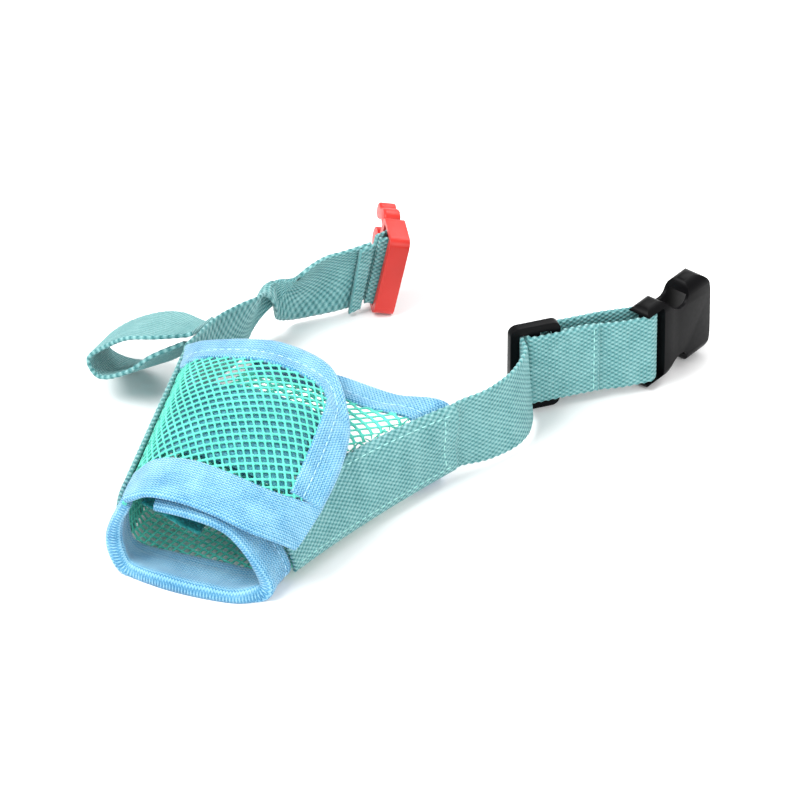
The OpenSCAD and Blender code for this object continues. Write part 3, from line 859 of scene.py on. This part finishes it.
# %% Round the edges of a moulding
def moulding(node, name, body, material, slot, radius):
    source = bpy.data.objects[node]
    piece = bpy.data.objects.new(name, source.data.copy())
    bpy.context.scene.collection.objects.link(piece)
    only(piece)
    bpy.ops.object.mode_set(mode="EDIT")
    bpy.ops.mesh.select_all(action="SELECT")
    bpy.ops.mesh.remove_doubles(threshold=0.01 * MM)
    bpy.ops.mesh.dissolve_limited(angle_limit=math.radians(3))
    bpy.ops.object.mode_set(mode="OBJECT")
    edges = piece.modifiers.new("edges", "BEVEL")
    edges.width, edges.segments, edges.limit_method = radius, 3, "ANGLE"
    edges.angle_limit, edges.use_clamp_overlap = math.radians(28), True
    apply_all(piece)
    only(piece)
    bpy.ops.object.shade_smooth_by_angle(angle=math.radians(40))
    finish_piece(piece, body, material, slot, node)


moulding("plug_frame", "plug_moulding", "plug", red, "red_plastic", 1.1 * MM)
moulding("upper_arm", "upper_arm_moulding", "upper_spring_arm", red, "red_plastic", 0.8 * MM)
moulding("lower_arm", "lower_arm_moulding", "lower_spring_arm", red, "red_plastic", 0.8 * MM)
moulding("slider", "slider_moulding", "adjuster", black, "black_plastic", 0.6 * MM)
moulding("socket", "socket_moulding", "socket_half", black, "black_plastic", 0.35 * MM)

# %% [markdown]
# ## Stitching
# Lockstitch shows as a row of short threads, each pulled a little into the
# cloth at both ends. One small spindle of a few faces is laid end to end along
# each seam.

# %% Stitch helper
THREAD_WIDE = 0.3 * MM


def sew(name, body, points, normals, pitch=2.3 * MM, long=1.75 * MM, nodes=(), material=None):
    run = np.concatenate([[0], np.cumsum(np.linalg.norm(np.diff(points, axis=0), axis=-1))])
    count = max(1, int(run[-1] / pitch))
    mids = (np.arange(count) + 0.5) * run[-1] / count
    place = lambda a, at: np.stack([np.interp(at, run, a[:, k]) for k in range(3)], -1)
    centre, normal = place(points, mids), unit(place(normals, mids))
    ahead = unit(place(points, np.minimum(mids + 0.2 * MM, run[-1])) - place(points, mids - 0.2 * MM))
    side = unit(np.cross(normal, ahead))
    verts, faces = [], []
    for c0, n0, d0, s0 in zip(centre, normal, ahead, side):
        base = len(verts)
        for q, r, drop in ((-0.5, 0.25, -0.5), (-0.3, 0.9, 0), (0, 1, 0.2), (0.3, 0.9, 0),
                           (0.5, 0.25, -0.5)):
            for a in range(6):
                t = a * math.pi / 3
                verts.append(c0 + d0 * long * q + (s0 * math.cos(t) + n0 * math.sin(t)) * THREAD_WIDE / 2 * r
                             + n0 * drop * THREAD_WIDE / 2)
        for band in range(4):
            for a in range(6):
                i, j = base + band * 6 + a, base + band * 6 + (a + 1) % 6
                faces.append([i, j, j + 6, i + 6])
        faces += [[base + a for a in range(5, -1, -1)], [base + 24 + a for a in range(6)]]
    piece = make_object(name, verts, faces)
    outward(piece)
    finish_piece(piece, body, material or thread, "thread", *nodes)


# %% [markdown]
# ## The seams
# Seams hold down each tape and each length of webbing, a zigzag bar tack holds
# the strap's root, and one row crosses the slider's webbing. A row is lifted to
# the face it lies on, and the flap's rows are lifted the other way.

# %% Sew the seams
SEAM_LIFT = 0.72 * MM
blue_thread = net_finish("blue_thread", (0.55, 0.8, 0.95), (0.25, 0.55, 0.82))
s = np.linspace(0.05, 11.95, 300)
for name, t in (("rim_stitches", 0.78 * FRONT_TAPE / depth(shell, s)),
                ("rear_stitches", 1 - 0.68 * EDGE_TAPE / depth(shell, s))):
    normal = facing(shell, s, t)
    sew(name, "muzzle", on_sheet(shell, s, t) + normal * SEAM_LIFT, normal, material=blue_thread)
path = outer * 0.34 + inner * 0.66
normal = -facing(flap, path[:, 0], path[:, 1])
sew("border_stitches", "flap", on_sheet(flap, path[:, 0], path[:, 1]) + normal * SEAM_LIFT, normal,
    material=blue_thread)
for name, s_at in (("left_wall_stitches", 2.62), ("right_wall_stitches", 7.38),
                   ("left_top_stitches", 0.22), ("right_top_stitches", 8.8)):
    t = np.linspace(0.2, 0.98, 120)
    here = np.full_like(t, s_at)
    normal = facing(shell, here, t)
    sew(name, "muzzle", on_sheet(shell, here, t) + normal * (OVER_TAPE + WEB_T), normal)
s = np.linspace(7.45, 8.75, 40)
t = np.full_like(s, 0.955)
normal = facing(shell, s, t)
sew("seam_stitches", "muzzle", on_sheet(shell, s, t) + normal * (OVER_TAPE + WEB_T), normal)
zigzag = np.array([[0.22 + 0.24 * (i % 2), 0.3 + 0.36 * i / 14] for i in range(15)])
k = np.linspace(0, 14, 200)
zig = np.stack([np.interp(k, np.arange(15), zigzag[:, j]) for j in (0, 1)], -1)
normal = facing(left, zig[:, 0], zig[:, 1])
sew("bar_tack_stitches", "muzzle", on_sheet(left, zig[:, 0], zig[:, 1]) + normal * SEAM_LIFT, normal,
    pitch=1.6 * MM, long=1.4 * MM, nodes=("bar_tack",))
here = run_place(12.7 * MM)
points = np.array([tuple(here @ Vector((15.1 * MM, -2.78 * MM, z)))
                   for z in np.linspace(-9.4, 9.4, 60) * MM])
outwards = np.array([tuple(here.to_3x3() @ Vector((0, -1, 0)))] * 60)
sew("slider_stitches", "adjuster", points, outwards, nodes=("tail_stitches",))

# %% [markdown]
# ## Sheets
# The three net panels are sheets of cloth, so each states the size it was cut
# to. The tape, the webbing and the pads are sewn trim and are modelled directly.

# %% State the cut sizes of the net
for piece, wide, deep in ((chin, chin_wide, chin_deep), (tongue, tongue_wide, tongue_deep),
                          (flap_net, flap_wide, flap_deep)):
    print(piece.name, "cut to mm", round(wide / MM, 1), round(deep[0] / MM, 1),
          "area mm2", round(deep[1] / MM ** 2))

# %% [markdown]
# ## Floor and light
# A flat pale floor, much larger than the object, gives a plain ground. Three
# broad soft lights give the weave gentle highlights and a light shadow.

# %% Floor and lights
LIGHT_AIM = Vector((0.01, 0.07, 0.01))
FLOOR_DROP = 0.00005


def soft_light(name, place, size, power):
    data = bpy.data.lights.new(name, "AREA")
    data.shape, data.size, data.energy = "DISK", size, power
    lamp = bpy.data.objects.new(name, data)
    bpy.context.scene.collection.objects.link(lamp)
    lamp.location = place
    lamp.rotation_euler = (Vector(place) - LIGHT_AIM).to_track_quat("Z", "Y").to_euler()


bpy.ops.object.select_all(action="DESELECT")
bpy.ops.mesh.primitive_plane_add(size=6, location=(0, 0, low.z - FLOOR_DROP))
floor = bpy.context.active_object
floor.name = "floor"
ground = Nodes("pale_floor")
ground.link(ground.ramp(ground.noise(3, 2), (0.3, (0.93, 0.93, 0.93)), (0.7, (0.96, 0.96, 0.96))),
            ground.shader.inputs["Base Color"])
ground.shader.inputs["Roughness"].default_value = 0.75
ground.shader.inputs["Specular IOR Level"].default_value = 0.2
floor.data.materials.append(ground.material)
world = bpy.data.worlds.new("studio")
world.use_nodes = True
world.node_tree.nodes["Background"].inputs["Color"].default_value = (1, 1, 1, 1)
world.node_tree.nodes["Background"].inputs["Strength"].default_value = 0.75
bpy.context.scene.world = world
soft_light("key", (-0.45, -0.35, 0.9), 0.7, 13)
soft_light("fill", (0.8, -0.5, 0.6), 0.9, 6)
soft_light("back", (0.1, 0.9, 0.8), 0.8, 6)
bpy.context.scene.view_settings.view_transform = "Standard"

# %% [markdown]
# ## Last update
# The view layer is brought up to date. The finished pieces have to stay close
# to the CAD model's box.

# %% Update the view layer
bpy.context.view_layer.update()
